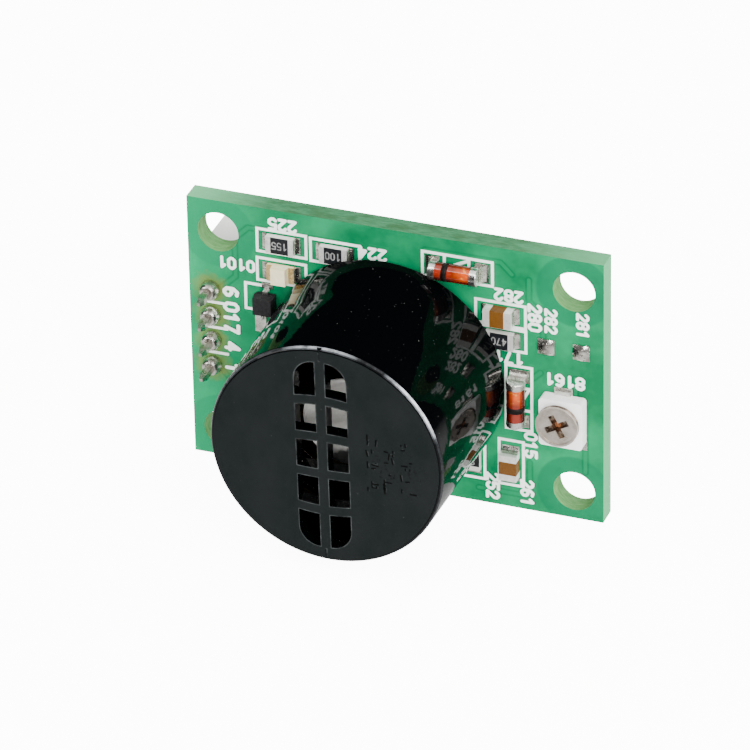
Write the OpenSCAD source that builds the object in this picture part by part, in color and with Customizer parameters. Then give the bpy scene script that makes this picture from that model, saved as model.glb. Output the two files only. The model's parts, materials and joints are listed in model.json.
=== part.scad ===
// Ultrasonic distance sensor module: one open transducer on a small circuit board.
// X runs along the board's width, Z is up and the transducer faces -Y.
// The origin is the centre of the four mounting holes, on the board's rear face.

/* [Board] */
// Width of the circuit board
board_w = 29.95; // [29.8:0.05:36]
// Height of the circuit board
board_h = 20.3; // [20.2:0.05:26]
// Thickness of the circuit board
board_t = 1.6; // [1:0.1:2.4]
// Radius of each mounting hole
hole_r = 1.5; // [1.2:0.05:1.6]
// Left edge to the left mounting holes
hole_left = 2.25; // [2:0.05:2.5]
// Right edge to the right mounting holes
hole_right = 2.1; // [1.9:0.05:2.5]
// Top edge to the upper mounting holes
hole_top = 2.45; // [2.1:0.05:2.5]
// Bottom edge to the lower mounting holes
hole_bottom = 2.15; // [1.9:0.05:2.4]

/* [Transducer housing] */
// Outer radius of the housing at its face
can_r = 8.3; // [8:0.05:8.35]
// How much wider the housing's radius is at its open end
can_draft = 0.2; // [0:0.05:0.25]
// Height of the housing from its open end to its face
can_h = 11.85; // [11:0.05:16]
// Thickness of the housing's side wall
can_wall = 0.7; // [0.4:0.05:1]
// Thickness of the face that holds the grille
face_t = 1.05; // [0.6:0.05:1.6]
// Gap between the board and the housing's open end
can_gap = 0.6; // [0.6:0.05:1]
// Radius of the rounding round the face's edge
rim_round = 0.35; // [0.1:0.05:0.4]
// Board centre to the transducer's axis, along X
can_shift_x = -0.42; // [-0.55:0.01:-0.38]
// Board centre to the transducer's axis, along Z
can_shift_z = -0.54; // [-0.6:0.01:-0.5]
// Turn of the transducer on the board, in degrees
can_turn = 0.8; // [-3:0.1:3]

/* [Grille] */
// Width of the grille over both columns
grille_w = 3.75; // [3:0.05:5]
// Height of the grille
grille_h = 14.4; // [12:0.1:14.6]
// Rounding of the grille's four outer corners
grille_corner = 1.45; // [0.6:0.05:1.5]
// Width of the upright bar between the columns
grille_bar_w = 0.7; // [0.4:0.05:1.2]
// Height of each bar across the columns
cross_bar_h = 0.66; // [0.4:0.02:1]
// Number of slots in each column
grille_rows = 5; // [3:1:7]
// Sideways shift of the grille from the axis
grille_shift = -0.2; // [-0.4:0.05:0.4]
// Bow of the outermost bars across half the grille
grille_bow = 0.28; // [0.1:0.02:0.5]

/* [Transducer inside] */
// Thickness of the base that closes the housing
base_t = 1.4; // [1:0.1:2.5]
// Radius of the foot that stands on the board
base_foot_r = 6.3; // [5.8:0.05:6.4]
// Distance between the two terminal pins
terminal_pitch = 10; // [9:0.1:10.4]
// Radius of a terminal pin
terminal_r = 0.5; // [0.4:0.05:0.6]
// Height of the ring under the vibrating plate
ring_h = 2.7; // [2.2:0.1:3.2]
// Radius of the vibrating plate
plate_r = 6.4; // [6:0.05:7]
// Thickness of the vibrating plate
plate_t = 0.25; // [0.15:0.05:0.5]
// Radius of the piezo disc
piezo_r = 4.6; // [3.8:0.1:5]
// Thickness of the piezo disc
piezo_t = 0.4; // [0.2:0.05:0.8]
// Radius of the cone's open end
cone_r = 3.3; // [2.6:0.1:5]
// Depth of the cone
cone_h = 2.75; // [2:0.05:3.4]
// Thickness of the cone's wall
cone_wall = 0.2; // [0.15:0.01:0.3]
// Radius of a lead wire
wire_r = 0.12; // [0.08:0.01:0.2]

/* [Connector] */
// Number of connector pins
pin_count = 4; // [2:1:4]
// Distance between neighbouring connector pins
pin_pitch = 2; // [1.9:0.05:2.1]
// Side of a square connector pin
pin_side = 0.5; // [0.4:0.02:0.6]
// Length of a pin in front of the board
pin_tail = 2.3; // [1.6:0.1:3]
// Left edge of the board to the pins
pin_left = 1.57; // [1.55:0.01:1.7]
// Height of the connector's housing behind the board
shroud_h = 6; // [5:0.1:8]
// Depth of the connector's housing
shroud_depth = 4.5; // [4.2:0.1:5]
// Wall of the connector's housing
shroud_wall = 0.6; // [0.4:0.05:0.8]
// Length of that housing beyond its first and last pin, both ends together
shroud_past = 3.9; // [2.5:0.1:4.2]
// Floor of the connector's housing
shroud_floor = 1.5; // [1:0.1:2]

/* [Chip parts] */
// Length of a chip resistor or capacitor
chip_l = 2; // [1.8:0.05:2.1]
// Width of a chip resistor or capacitor
chip_w = 1.25; // [1.1:0.05:1.3]
// Height of a chip resistor
resistor_h = 0.45; // [0.35:0.01:0.48]
// Height of a chip capacitor
capacitor_h = 0.85; // [0.6:0.05:1.3]
// Length of the metal end on a chip resistor
end_w = 0.36; // [0.3:0.02:0.5]
// Length of the metal end on a chip capacitor
capacitor_end_w = 0.5; // [0.3:0.02:0.6]
// Thickness of the metal end on a chip
end_t = 0.04; // [0.02:0.01:0.05]
// Length of a glass diode
diode_l = 3.5; // [3.2:0.05:3.6]
// Radius of a glass diode's tube
diode_r = 0.63; // [0.6:0.01:0.65]
// Length of the metal cap on a diode
diode_cap_l = 0.5; // [0.3:0.02:0.7]
// Length of the lamp chip
led_l = 2; // [1.8:0.05:2.1]
// Height of the lamp chip's lens over its base
led_lens_h = 0.5; // [0.3:0.05:0.8]
// Length of the small transistor's body
transistor_l = 1.5; // [1.3:0.05:1.6]
// Width of the small transistor's body
transistor_w = 1.4; // [1.1:0.05:1.45]
// Height of the small transistor over the board
transistor_h = 1.2; // [0.9:0.05:1.3]
// Width of the printed lines
line_w = 0.2; // [0.12:0.01:0.25]
// Side of a square test pad
test_pad = 1.2; // [0.8:0.1:1.4]

/* [Trimmer] */
// Width of the trimmer's base
trimmer_w = 3.1; // [3:0.05:3.3]
// Height of the trimmer's base along the board
trimmer_l = 3.65; // [3.4:0.05:3.8]
// Thickness of the trimmer's base
trimmer_t = 0.95; // [0.8:0.05:1.3]
// Radius of the trimmer's rotor
rotor_r = 1.5; // [1.3:0.05:1.5]
// Thickness of the trimmer's rotor
rotor_t = 0.42; // [0.35:0.01:0.6]
// Sideways shift of the rotor on the trimmer's base
rotor_shift = -0.15; // [-0.2:0.05:0.2]
// Radius of the rotor's shaft
rotor_shaft_r = 0.5; // [0.4:0.02:0.6]
// Running clearance round the rotor's shaft and under the rotor
rotor_play = 0.04; // [0.02:0.01:0.08]
// Width of the rotor's cross slot
slot_w = 0.46; // [0.3:0.02:0.6]
// Length of the rotor's cross slot
slot_l = 1.8; // [1.4:0.05:2.2]
// Turn of the cross slot at rest, in degrees
slot_turn = 28; // [0:1:90]

/* [Rear side] */
// Length of the controller chip's body
controller_l = 8.65; // [8.2:0.05:9]
// Length of the amplifier chip's body
amplifier_l = 4.9; // [4.6:0.05:5.2]
// Width of both chips' bodies
chip_body_w = 3.9; // [3.6:0.05:4.2]
// Thickness of both chips' bodies
chip_body_t = 1.45; // [1.2:0.05:1.7]
// Distance between neighbouring leads
lead_pitch = 1.27; // [1.2:0.01:1.3]

/* [Hidden] */
$fn = 64;
eps = 0.01;

// Thickness of tinned copper and of printed ink
pad_t = 0.05;
print_t = 0.04;
// Small gap between pieces that are pressed or glued together
seat_gap = 0.02;
// Least distance from the housing to a part beside it, and from one part's print to the next part
part_gap = 0.03;
print_gap = 0.05;
// How far a printed frame stands out past a chip at its ends and at its sides
frame_past_end = 0.875;
frame_past_side = 0.35;
// How far a pad and its fillet reach past a chip's end
joint_reach = 0.38;
// Height of a moulded chip body's underside over the board
body_lift = 0.15;

// Edges of the board
hole_pitch_x = board_w - hole_left - hole_right;
hole_pitch_z = board_h - hole_top - hole_bottom;
board_left = -hole_pitch_x / 2 - hole_left;
board_right = hole_pitch_x / 2 + hole_right;
board_top = hole_pitch_z / 2 + hole_top;
board_bottom = -hole_pitch_z / 2 - hole_bottom;
board_mid_x = (board_left + board_right) / 2;
board_mid_z = (board_top + board_bottom) / 2;

// Transducer axis and heights over the board's front face
can_x = board_mid_x + can_shift_x;
can_z = board_mid_z + can_shift_z;
can_top = can_gap + can_h;
can_bore_r = can_r - can_wall;
base_recess = 0.2;
base_r = can_bore_r - seat_gap;
base_top = can_gap + base_recess + base_t;
ring_top = base_top + ring_h;
collar_over = 0.3;
ring_wall = 0.7;
ring_bore_r = terminal_pitch / 2 + terminal_r + collar_over + 0.1;
plate_top = ring_top + plate_t;

// Place on the board from shares of its width and height, then a turn
function on_board(u, v, turn) = [board_left + u * board_w, board_bottom + v * board_h, turn];

// Distance along one axis from the transducer's axis to the middle of a part of that length,
// so that a part whose nearest side is `across` away on the other axis stays clear of the housing
function clear_of_can(across, length) =
  sqrt(max(0, pow(can_r + can_draft + part_gap, 2) - pow(max(0, across), 2))) + length / 2;

// The place moved away from the transducer, sideways or upwards, until the part is clear of it
function beside_can(at, length, width) = let (
    apart = clear_of_can(abs(at[1] - can_z) - width / 2, length),
    side = at[0] < can_x ? -1 : 1)
  [can_x + side * max(apart, abs(at[0] - can_x)), at[1], at[2]];
function above_can(at, length, width) =
  [at[0], max(at[1], can_z + clear_of_can(abs(at[0] - can_x) - length / 2, width)), at[2]];

// Places of the parts on the front face, as [x, z, turn]
diode_cap_r = diode_r + 0.04;
diode_frame_w = 2 * diode_r + 0.79;
resistor_1_at = on_board(0.2301, 0.8778, 0);
resistor_2_at = on_board(0.3598, 0.874, 0);
lamp_at = beside_can(on_board(0.2287, 0.7655, 0), led_l, chip_w);
transistor_at = beside_can(on_board(0.196, 0.6478, 0), transistor_l, transistor_w);
diode_1_at = above_can(on_board(0.6535, 0.88, 0), diode_l, 2 * diode_cap_r);
capacitor_1_at = beside_can(on_board(0.7556, 0.7488, 0), chip_l, chip_w);
resistor_3_at = on_board(0.7563, 0.6552, 0);
test_pads_at = [on_board(0.8641, 0.6522, 0), on_board(0.9476, 0.6522, 0)];
diode_2_at = beside_can(on_board(0.7983, 0.4345, 90), 2 * diode_cap_r, diode_l);
trimmer_share = on_board(0.9082, 0.3901, 0);
trimmer_at = [max(trimmer_share[0], diode_2_at[0] + diode_frame_w / 2 + print_gap + trimmer_w / 2),
  trimmer_share[1], 0];
rotor_at = [trimmer_at[0] + rotor_shift, trimmer_at[1], 0];
capacitor_2_at = beside_can(on_board(0.779, 0.1754, 90), chip_w, chip_l);
resistor_4_at = on_board(0.6858, 0.1803, 90);
pin_x = board_left + pin_left;
pin_mid_z = board_mid_z + 0.1;

// Places of the parts on the rear face
controller_at = on_board(0.5, 0.7562, 0);
amplifier_at = on_board(0.4833, 0.2044, 0);
rear_chips_at = [for (v = [0.7168, 0.5985, 0.3325, 0.2143]) on_board(0.813, v, 0)];

// Fits of the pins in the board
pin_hole_r = pin_side * 0.5 * sqrt(2) + 0.1;
terminal_hole_r = terminal_r + 0.12;

// Puts its children on the front face at [x, z, turn], with their Z axis away from the board
module on_front(at) {
  translate([at[0], -board_t, at[1]]) rotate([90, 0, 0]) rotate(at[2]) children();
}

// Puts its children on the rear face at [x, z], with their Z axis away from the board
module on_rear(at) {
  translate([at[0], 0, at[1]]) rotate([90, 0, 180]) children();
}

// A block centred in X and Y that stands on Z = 0
module block(l, w, h) {
  translate([-l / 2, -w / 2, 0]) cube([l, w, h]);
}

// A right-angled concave fillet of solder, w wide, that leans on a wall at X = 0
module solder_wedge(w, reach, h) {
  steps = 6;
  arc = [for (i = [0 : steps]) let (a = 90 * i / steps) [reach * (1 - sin(a)), h * (1 - cos(a))]];
  rotate([90, 0, 0]) translate([0, 0, -w / 2]) linear_extrude(w)
    polygon(concat([[0, 0]], arc));
}

// Pad and solder fillet at both ends of a chip that is l long and w wide
module chip_joints(l, w, h, end_l) {
  for (s = [0, 180]) rotate(s) {
    translate([l / 2 - end_l, -w / 2, 0]) cube([end_l + joint_reach, w, pad_t]);
    translate([l / 2 + eps, 0, pad_t]) solder_wedge(w * 0.9, joint_reach - eps, h);
  }
}

// Metal ends, end_l long, of a chip, wrapped round a body of l by w by h
module chip_ends(l, w, h, end_l, over_sides) {
  side = over_sides ? end_t : 0;
  for (s = [0, 180]) rotate(s) difference() {
    translate([l / 2 - end_l, -w / 2, 0]) cube([end_l, w, h]);
    translate([l / 2 - end_l - eps, -w / 2 + side - (over_sides ? 0 : eps), end_t])
      cube([end_l - end_t + eps, w - 2 * side + (over_sides ? 0 : 2 * eps), h - 2 * end_t]);
  }
}

// Ceramic body of a chip, thinner under its metal ends
module chip_body(l, w, h, end_l, over_sides) {
  side = over_sides ? end_t : 0;
  union() {
    translate([0, 0, end_t]) block(l - 2 * end_t, w - 2 * side, h - 2 * end_t);
    block(l - 2 * end_l, w, h);
  }
}

module resistor_body(at) {
  color([0.13, 0.13, 0.14]) on_front(at) translate([0, 0, pad_t])
    chip_body(chip_l, chip_w, resistor_h, end_w, false);
}

module resistor_ends(at) {
  color([0.78, 0.77, 0.74]) on_front(at) translate([0, 0, pad_t])
    chip_ends(chip_l, chip_w, resistor_h, end_w, false);
}

module capacitor_body(at) {
  color([0.62, 0.38, 0.2]) on_front(at) translate([0, 0, pad_t])
    chip_body(chip_l, chip_w, capacitor_h, capacitor_end_w, true);
}

module capacitor_ends(at) {
  color([0.78, 0.77, 0.74]) on_front(at) translate([0, 0, pad_t])
    chip_ends(chip_l, chip_w, capacitor_h, capacitor_end_w, true);
}

// Glass diode with its axis along X: heights over the board
diode_axis_h = pad_t + diode_cap_r;
diode_bore_r = diode_r * 0.6;
die_t = 0.25;
diode_stud_l = diode_l / 2 - die_t / 2;

module diode_frame(at) {
  on_front(at) translate([0, 0, diode_axis_h]) rotate([0, 90, 0]) children();
}

module diode_tube(at) {
  tube_l = diode_l - 2 * diode_cap_l;
  color([0.85, 0.38, 0.12]) diode_frame(at) difference() {
    cylinder(h = tube_l, r = diode_r, center = true);
    cylinder(h = tube_l + 1, r = diode_bore_r, center = true);
  }
}

// Each cap carries a stud that reaches to the die
module diode_caps(at) {
  round = 0.1;
  color([0.8, 0.79, 0.76]) diode_frame(at) for (s = [0, 180]) rotate([s, 0, 0])
    translate([0, 0, die_t / 2]) rotate_extrude()
      polygon(concat([[0, 0], [diode_bore_r - seat_gap, 0],
        [diode_bore_r - seat_gap, diode_stud_l - diode_cap_l],
        [diode_cap_r, diode_stud_l - diode_cap_l]],
        [for (a = [0 : 15 : 90])
          [diode_cap_r - round + round * cos(a), diode_stud_l - round + round * sin(a)]],
        [[0, diode_stud_l]]));
}

module diode_die(at) {
  color([0.3, 0.3, 0.32]) diode_frame(at) cylinder(h = die_t, r = diode_bore_r * 0.8, center = true);
}

// Saddle of solder under and behind each cap of a diode
module diode_joints(at) {
  reach = 0.5;
  w = 2 * diode_cap_r;
  pad_w = w + 0.1;
  on_front(at) for (s = [0, 180]) rotate(s) difference() {
    union() {
      translate([diode_l / 2 - diode_cap_l, -pad_w / 2, 0]) cube([diode_cap_l + reach, pad_w, pad_t]);
      translate([diode_l / 2 - diode_cap_l, -w * 0.4, 0]) cube([diode_cap_l, w * 0.8, diode_cap_r * 0.6]);
      translate([diode_l / 2, 0, 0]) solder_wedge(w * 0.9, reach, diode_cap_r * 1.2);
    }
    translate([diode_l / 2 - diode_cap_l - 1, 0, diode_axis_h]) rotate([0, 90, 0])
      cylinder(h = diode_cap_l + 1 + eps, r = diode_cap_r + eps);
  }
}

module circuit_board() {
  color([0.02, 0.6, 0.42]) difference() {
    translate([board_left, -board_t, board_bottom]) cube([board_w, board_t, board_h]);
    for (x = [-hole_pitch_x / 2, hole_pitch_x / 2], z = [-hole_pitch_z / 2, hole_pitch_z / 2])
      board_hole(x, z, hole_r);
    for (i = [0 : pin_count - 1]) board_hole(pin_x, pin_z(i), pin_hole_r);
    for (s = [-1, 1]) board_hole(terminal_x(s), terminal_z(s), terminal_hole_r);
  }
}

module board_hole(x, z, r) {
  translate([x, eps, z]) rotate([90, 0, 0]) cylinder(h = board_t + 2 * eps, r = r);
}

function pin_z(i) = pin_mid_z + ((pin_count - 1) / 2 - i) * pin_pitch;
function terminal_x(s) = can_x + s * terminal_pitch / 2 * cos(can_turn);
function terminal_z(s) = can_z + s * terminal_pitch / 2 * sin(can_turn);

// Printed frame of l by w round the part at its centre
module print_frame(l, w) {
  linear_extrude(print_t) difference() {
    square([l, w], center = true);
    square([l - 2 * line_w, w - 2 * line_w], center = true);
  }
}

// Printed sign under a glass diode: a triangle whose point meets a bar at its -X end
module print_diode_sign(size) {
  linear_extrude(print_t) union() {
    difference() {
      polygon([[size, -size], [-size, 0], [size, size]]);
      polygon([[size - line_w, -size + 1.7 * line_w], [-size + 2.2 * line_w, 0],
        [size - line_w, size - 1.7 * line_w]]);
    }
    translate([-size - line_w / 2, -size]) square([line_w, 2 * size]);
  }
}

module silkscreen() {
  chip_frame_l = chip_l + 2 * frame_past_end;
  chip_frame_w = chip_w + 2 * frame_past_side;
  diode_frame_l = diode_l + 1.7;
  bracket_w = transistor_w + 0.8;
  bracket_l = 1.55;
  color([0.93, 0.96, 0.93]) {
    for (at = [resistor_1_at, resistor_2_at, lamp_at, capacitor_2_at, resistor_4_at])
      on_front(at) print_frame(chip_frame_l, chip_frame_w);
    // Two frames that share a line
    on_front(capacitor_1_at) print_frame(chip_frame_l, chip_frame_w);
    on_front(resistor_3_at) print_frame(chip_frame_l, chip_frame_w - 0.1);
    for (at = [diode_1_at, diode_2_at]) on_front(at) union() {
      print_frame(diode_frame_l, diode_frame_w);
      print_diode_sign(diode_frame_w / 2 - line_w / 2);
    }
    // Bracket at the transistor's left end
    on_front(transistor_at) translate([-transistor_l / 2 - 0.95, -bracket_w / 2 + 0.1, 0])
      linear_extrude(print_t) difference() {
        square([bracket_l, bracket_w]);
        translate([line_w, line_w]) square([bracket_l, bracket_w - 2 * line_w]);
        translate([0.6, -eps]) square([bracket_l, bracket_w / 2]);
      }
    // Lines between the connector pins
    for (i = [0 : pin_count - 2]) on_front([pin_x, (pin_z(i) + pin_z(i + 1)) / 2, 0])
      translate([-0.7, -line_w / 2, 0]) cube([1.9, line_w, print_t]);
  }
}

module test_pads() {
  color([0.72, 0.72, 0.7]) for (at = test_pads_at) on_front(at) {
    block(test_pad, test_pad, pad_t);
    // Low dome of solder on the pad
    translate([0, 0, pad_t]) intersection() {
      translate([0, 0, 0.22 - test_pad]) sphere(r = test_pad);
      block(test_pad, test_pad, test_pad);
    }
  }
}

module chip_solder() {
  color([0.7, 0.7, 0.68]) {
    for (at = [resistor_1_at, resistor_2_at, resistor_3_at, resistor_4_at])
      on_front(at) chip_joints(chip_l, chip_w, resistor_h * 0.8, end_w);
    for (at = [capacitor_1_at, capacitor_2_at])
      on_front(at) chip_joints(chip_l, chip_w, capacitor_h * 0.6, capacitor_end_w);
    on_front(lamp_at) chip_joints(led_l, chip_w, led_base_h * 0.9, led_end_w);
    diode_joints(diode_1_at);
    diode_joints(diode_2_at);
    // Pads under the transistor's three feet
    on_front(transistor_at) for (p = transistor_feet) rotate(p[1] > 0 ? 0 : 180)
      translate([p[1] * p[0] - foot_pad_w / 2, transistor_w / 2 + 0.2, 0])
        cube([foot_pad_w, p[3], pad_t]);
    // Pads under the trimmer's terminals
    on_front(trimmer_at) for (p = trimmer_tabs)
      translate([p[0] - tab_w / 2 - 0.1, p[1] > 0 ? trimmer_l / 2 - 0.3 : -trimmer_l / 2 - 0.5, 0])
        cube([tab_w + 0.2, 0.8, pad_t]);
  }
}

// Feet of the transistor as [x, side, reach of the lead, length of the pad]
foot_w = 0.4;
foot_pad_w = 0.8;
lead_t = 0.12;
// The leads leave the body low enough to pass under the housing's open end
lead_exit_h = can_gap - 0.15;
transistor_feet = [[-transistor_l / 2 + 0.2, -1, 0.9, 1.7], [transistor_l / 2 - 0.2, -1, 0.9, 1.7],
  [0, 1, 0.55, 0.45]];

// Moulded body with drafted sides, l by w, from h0 to h1, widest at its middle
module moulded_body(l, w, h0, h1, draft) {
  mid = (h0 + h1) / 2;
  intersection() {
    rotate([90, 0, 0]) translate([0, 0, -w]) linear_extrude(2 * w)
      polygon([[-l / 2 + draft, h0], [l / 2 - draft, h0], [l / 2, mid], [l / 2 - draft, h1],
        [-l / 2 + draft, h1], [-l / 2, mid]]);
    rotate([90, 0, 90]) translate([0, 0, -l]) linear_extrude(2 * l)
      polygon([[-w / 2 + draft, h0], [w / 2 - draft, h0], [w / 2, mid], [w / 2 - draft, h1],
        [-w / 2 + draft, h1], [-w / 2, mid]]);
  }
}

// Bent lead in the Y-Z plane: from a body's side at height h down to a foot on the pad
module bent_lead(w, t, start, h, out, foot) {
  knee = start + out - foot;
  rotate([90, 0, 90]) translate([0, 0, -w / 2]) linear_extrude(w)
    polygon([[start, h - t / 2], [knee - t, h - t / 2], [knee - t, pad_t], [start + out, pad_t],
      [start + out, pad_t + t], [knee, pad_t + t], [knee, h + t / 2], [start, h + t / 2]]);
}

module transistor_body() {
  color([0.17, 0.17, 0.18]) on_front(transistor_at)
    moulded_body(transistor_l, transistor_w, 0.1, transistor_h, 0.08);
}

module transistor_leads() {
  color([0.75, 0.75, 0.73]) on_front(transistor_at) for (p = transistor_feet)
    translate([p[0], 0, 0]) rotate(p[1] > 0 ? 0 : 180)
      bent_lead(foot_w, lead_t, transistor_w / 2, lead_exit_h, p[2], 0.35);
}

module resistor_1_body() { resistor_body(resistor_1_at); }
module resistor_1_ends() { resistor_ends(resistor_1_at); }
module resistor_2_body() { resistor_body(resistor_2_at); }
module resistor_2_ends() { resistor_ends(resistor_2_at); }
module resistor_3_body() { resistor_body(resistor_3_at); }
module resistor_3_ends() { resistor_ends(resistor_3_at); }
module resistor_4_body() { resistor_body(resistor_4_at); }
module resistor_4_ends() { resistor_ends(resistor_4_at); }
module capacitor_1_body() { capacitor_body(capacitor_1_at); }
module capacitor_1_ends() { capacitor_ends(capacitor_1_at); }
module capacitor_2_body() { capacitor_body(capacitor_2_at); }
module capacitor_2_ends() { capacitor_ends(capacitor_2_at); }
module diode_1_tube() { diode_tube(diode_1_at); }
module diode_1_caps() { diode_caps(diode_1_at); }
module diode_1_die() { diode_die(diode_1_at); }
module diode_2_tube() { diode_tube(diode_2_at); }
module diode_2_caps() { diode_caps(diode_2_at); }
module diode_2_die() { diode_die(diode_2_at); }

// Lamp chip: base board, metal ends round it and a moulded lens on top
led_base_h = 0.3;
led_end_w = 0.4;

module lamp_base() {
  color([0.9, 0.85, 0.66]) on_front(lamp_at) translate([0, 0, pad_t])
    chip_body(led_l, chip_w, led_base_h, led_end_w, false);
}

module lamp_ends() {
  color([0.8, 0.7, 0.45]) on_front(lamp_at) translate([0, 0, pad_t])
    chip_ends(led_l, chip_w, led_base_h, led_end_w, false);
}

module lamp_lens() {
  lens_l = led_l - 2 * led_end_w - 2 * seat_gap;
  draft = 0.06;
  color([0.93, 0.88, 0.7]) on_front(lamp_at) translate([0, 0, pad_t + led_base_h])
    intersection() {
      rotate([90, 0, 0]) translate([0, 0, -chip_w / 2]) linear_extrude(chip_w)
        polygon([[-lens_l / 2, 0], [lens_l / 2, 0], [lens_l / 2 - draft, led_lens_h],
          [-lens_l / 2 + draft, led_lens_h]]);
      block(lens_l, chip_w, led_lens_h);
    }
}

// Everything in the transducer turns and stands with its axis
module on_transducer() {
  on_front([can_x, can_z, can_turn]) children();
}

// Outline of the grille: a rectangle with round corners
module grille_outline() {
  cx = grille_w / 2 - grille_corner;
  cz = grille_h / 2 - grille_corner;
  union() {
    square([grille_w, 2 * cz], center = true);
    square([2 * cx, grille_h], center = true);
    for (sx = [-1, 1], sz = [-1, 1]) translate([sx * cx, sz * cz]) circle(r = grille_corner);
  }
}

// A bar across the grille at height z, bowed like a line of latitude
module cross_bar(z) {
  reach = grille_w / 2;
  bow = max(grille_bow * abs(z) / (grille_h / 2), 0.005);
  bow_r = (reach * reach + bow * bow) / (2 * bow);
  side = z < 0 ? -1 : 1;
  translate([0, z - side * bow_r]) intersection() {
    difference() {
      circle(r = bow_r + cross_bar_h / 2, $fn = 360);
      circle(r = bow_r - cross_bar_h / 2, $fn = 360);
    }
    translate([-reach, side * bow_r - 1]) square([2 * reach, 2]);
  }
}

// Slots of the grille: the outline less the upright bar and the bars across
module grille_slots() {
  pitch = grille_h / grille_rows;
  difference() {
    grille_outline();
    square([grille_bar_w, grille_h + 1], center = true);
    for (i = [1 : grille_rows - 1]) cross_bar((i - grille_rows / 2) * pitch * 0.99);
  }
}

// Section of the turned shell, open towards the board
module housing_section() {
  inner_round = 0.3;
  polygon(concat(
    [[can_bore_r, can_gap], [can_r + can_draft, can_gap]],
    [for (a = [0 : 15 : 90])
      [can_r - rim_round + rim_round * cos(a), can_top - rim_round + rim_round * sin(a)]],
    [[0, can_top], [0, can_top - face_t]],
    [for (a = [90 : -15 : 0]) [can_bore_r - inner_round + inner_round * cos(a),
      can_top - face_t - inner_round + inner_round * sin(a)]]));
}

module transducer_housing() {
  // Fine mould line down the face, above and below the grille, with a nick at the rim
  line_depth = 0.06;
  line_cut_w = 0.1;
  nick_r = 0.18;
  color([0.13, 0.14, 0.15]) on_transducer() difference() {
    rotate_extrude($fn = 144) housing_section();
    translate([grille_shift, 0, can_top - face_t - 1]) linear_extrude(face_t + 2) grille_slots();
    for (s = [-1, 1]) translate([grille_shift - line_cut_w / 2, s > 0 ? grille_h / 2 + 0.1 : -can_r - 1,
      can_top - line_depth]) cube([line_cut_w, can_r - grille_h / 2 + 0.9, 1]);
    translate([grille_shift, can_r, can_top - 0.2]) cylinder(h = 1, r = nick_r);
  }
}

// Base that closes the open end, with a foot that stands on the board
module transducer_base() {
  color([0.12, 0.1, 0.09]) on_transducer() difference() {
    union() {
      cylinder(h = base_top, r = base_foot_r);
      translate([0, 0, can_gap + base_recess]) cylinder(h = base_t, r = base_r, $fn = 96);
    }
    for (s = [-1, 1]) translate([s * terminal_pitch / 2, 0, -1])
      cylinder(h = base_top + 2, r = terminal_r + seat_gap);
  }
}

// Riveted pin through the base and the board, with a collar inside
module terminal_pin(s) {
  tail = 1.3;
  collar_t = 0.25;
  top = 0.35;
  color([0.85, 0.83, 0.78]) on_transducer() translate([s * terminal_pitch / 2, 0, 0]) union() {
    translate([0, 0, -board_t - tail])
      cylinder(h = board_t + tail + base_top + collar_t + top, r = terminal_r);
    translate([0, 0, base_top]) cylinder(h = collar_t, r = terminal_r + collar_over);
  }
}

module terminal_pin_left() { terminal_pin(-1); }
module terminal_pin_right() { terminal_pin(1); }

module support_ring() {
  color([0.85, 0.85, 0.83]) on_transducer() translate([0, 0, base_top]) difference() {
    cylinder(h = ring_h, r = ring_bore_r + ring_wall);
    translate([0, 0, -1]) cylinder(h = ring_h + 2, r = ring_bore_r);
  }
}

module vibrating_plate() {
  color([0.75, 0.72, 0.6]) on_transducer() translate([0, 0, ring_top]) cylinder(h = plate_t, r = plate_r);
}

module piezo_disc() {
  color([0.8, 0.78, 0.7]) on_transducer() translate([0, 0, ring_top - piezo_t])
    cylinder(h = piezo_t, r = piezo_r);
}

// Thin cone that is glued to the plate at its tip and opens towards the grille
module resonator_cone() {
  tip_r = 0.9;
  color([0.88, 0.88, 0.86]) on_transducer() translate([0, 0, plate_top]) rotate_extrude()
    polygon([[0, 0], [tip_r, 0], [cone_r, cone_h - cone_wall], [cone_r, cone_h],
      [cone_r - cone_wall, cone_h], [tip_r - cone_wall * 0.4, cone_wall], [0, cone_wall]]);
}

// Wires from the pins to the piezo disc and to the plate
module lead_wires() {
  collar_top = base_top + 0.6;
  start_x = terminal_pitch / 2;
  disc_x = piezo_r - 0.7;
  plate_x = piezo_r + 0.3;
  color([0.75, 0.45, 0.3]) on_transducer() {
    straight_wire([start_x, collar_top + 0.05], [disc_x, ring_top - piezo_t - 0.05]);
    straight_wire([-start_x, collar_top + 0.05], [-plate_x, ring_top - 0.05]);
  }
}

// A wire in the X-Z plane between two points
module straight_wire(from, to) {
  run = to - from;
  translate([from[0], 0, from[1]]) rotate([0, atan2(run[0], run[1]), 0])
    cylinder(h = norm(run), r = wire_r, $fn = 24);
}

// Square pin with both ends pointed, along the board's normal
module connector_pin(i) {
  point = 0.5;
  top = shroud_h - 0.9;
  color([0.85, 0.83, 0.75]) if (i < pin_count) translate([pin_x, 0, pin_z(i)]) intersection() {
    pin_profile(point, top);
    rotate([0, 90, 0]) pin_profile(point, top);
  }
}

// Side view of a pin, as a slab as thick as the pin is wide
module pin_profile(point, top) {
  front = -board_t - pin_tail;
  half = pin_side / 2;
  tip = pin_side * 0.22;
  translate([0, 0, -half]) linear_extrude(pin_side)
    polygon([[-tip, front], [tip, front], [half, front + point], [half, top - point],
      [tip, top], [-tip, top], [-half, top - point], [-half, front + point]]);
}

module connector_pin_1() { connector_pin(0); }
module connector_pin_2() { connector_pin(1); }
module connector_pin_3() { connector_pin(2); }
module connector_pin_4() { connector_pin(3); }

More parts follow.
